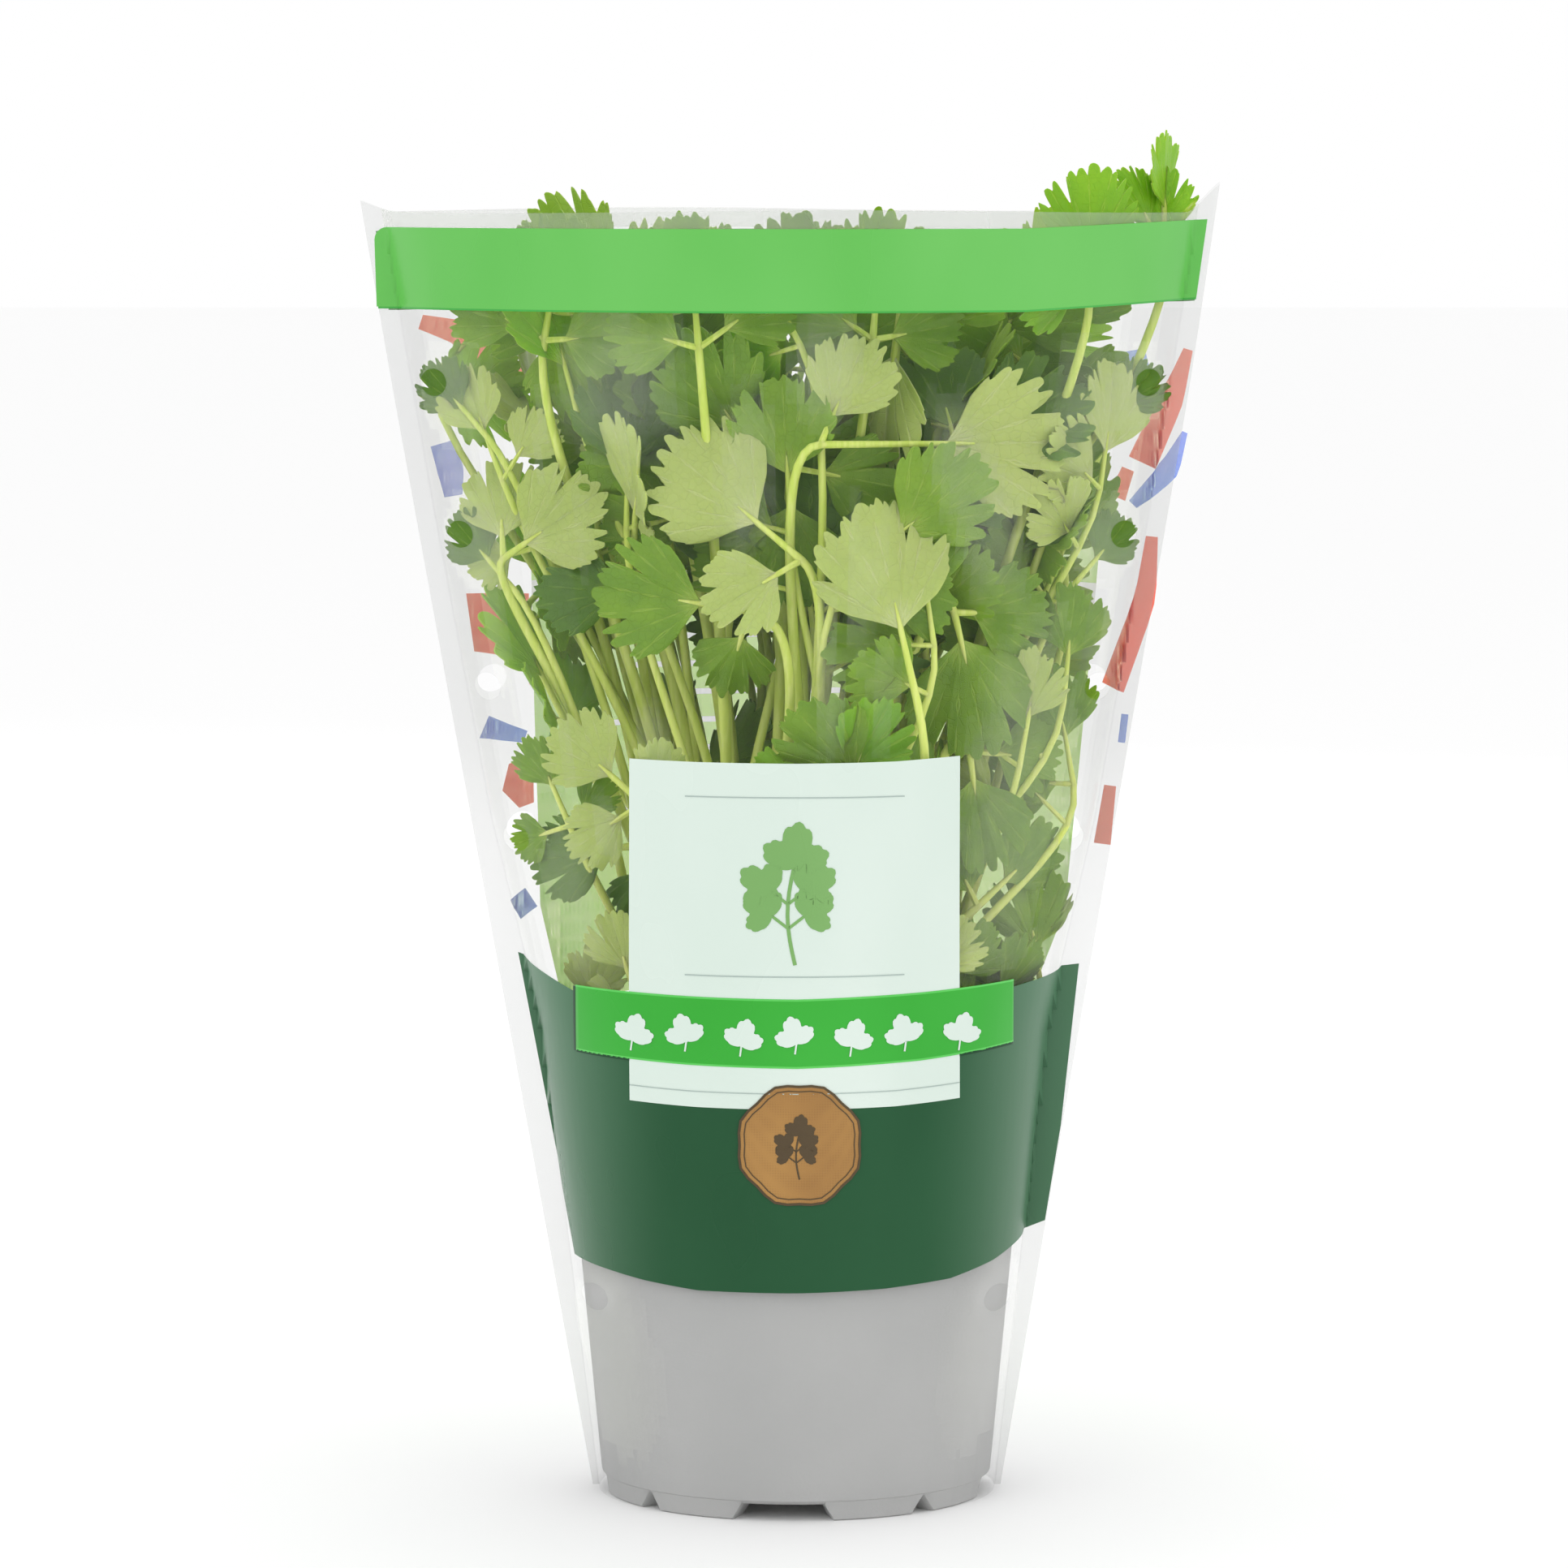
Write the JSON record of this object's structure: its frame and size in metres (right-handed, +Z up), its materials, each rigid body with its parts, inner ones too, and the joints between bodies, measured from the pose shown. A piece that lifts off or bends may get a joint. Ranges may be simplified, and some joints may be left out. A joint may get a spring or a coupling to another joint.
{
  "type": "potted coriander plant in a film sleeve",
  "caption": "Bushy coriander plant in a tapered plastic pot, standing in a clear printed film sleeve that is open at the top.",
  "frame": {"origin": "on the pot's axis, on the surface that its feet stand on", "axes": "+Z up, -Y towards the printed front of the sleeve, +X to its right"},
  "size_m": [0.1765, 0.105, 0.2812],
  "materials": {
    "pot_plastic": "light grey moulded plastic, satin",
    "compost": "dark moist compost, crumbly",
    "film": "clear slightly milky film with printed bands and panels",
    "leaf_pale": "soft leaf, paler side",
    "leaf_mid": "soft leaf, mid green",
    "leaf_bright": "soft young leaf, bright green",
    "leaf_dark": "soft older leaf, dark green"
  },
  "bodies": {
    "root": {"leafy_stem_02": "leaf_dark", "leafy_stem_04": "leaf_mid", "leafy_stem_05": "leaf_bright", "leafy_stem_07": "leaf_dark", "leafy_stem_09": "leaf_mid", "leafy_stem_10": "leaf_bright", "leafy_stem_11": "leaf_mid", "leafy_stem_12": "leaf_dark", "leafy_stem_13": "leaf_pale", "leafy_stem_14": "leaf_mid", "leafy_stem_15": "leaf_bright", "leafy_stem_16": "leaf_mid", "leafy_stem_17": "leaf_dark", "leafy_stem_18": "leaf_pale", "leafy_stem_19": "leaf_mid", "leafy_stem_20": "leaf_bright", "leafy_stem_21": "leaf_mid", "leafy_stem_22": "leaf_dark", "leafy_stem_23": "leaf_pale", "leafy_stem_24": "leaf_mid", "leafy_stem_25": "leaf_bright", "leafy_stem_26": "leaf_mid", "leafy_stem_front_01": "leaf_pale", "leafy_stem_front_02": "leaf_pale", "leafy_stem_front_03": "leaf_pale", "leafy_stem_front_04": "leaf_pale", "leafy_stem_front_05": "leaf_bright", "leafy_stem_front_06": "leaf_bright", "leafy_stem_front_07": "leaf_pale", "leafy_stem_front_08": "leaf_mid", "leafy_stem_front_09": "leaf_mid", "leafy_stem_front_10": "leaf_mid", "leafy_stem_front_11": "leaf_pale", "leafy_stem_front_12": "leaf_dark", "leafy_stem_front_13": "leaf_mid", "leafy_stem_front_14": "leaf_pale", "leafy_stem_front_15": "leaf_mid", "leafy_stem_front_16": "leaf_mid", "leafy_stem_front_17": "leaf_mid", "leafy_stem_front_18": "leaf_mid", "leafy_stem_front_19": "leaf_mid", "pot": "pot_plastic", "sleeve": "film", "soil": "compost"}
  },
  "joints": []
}
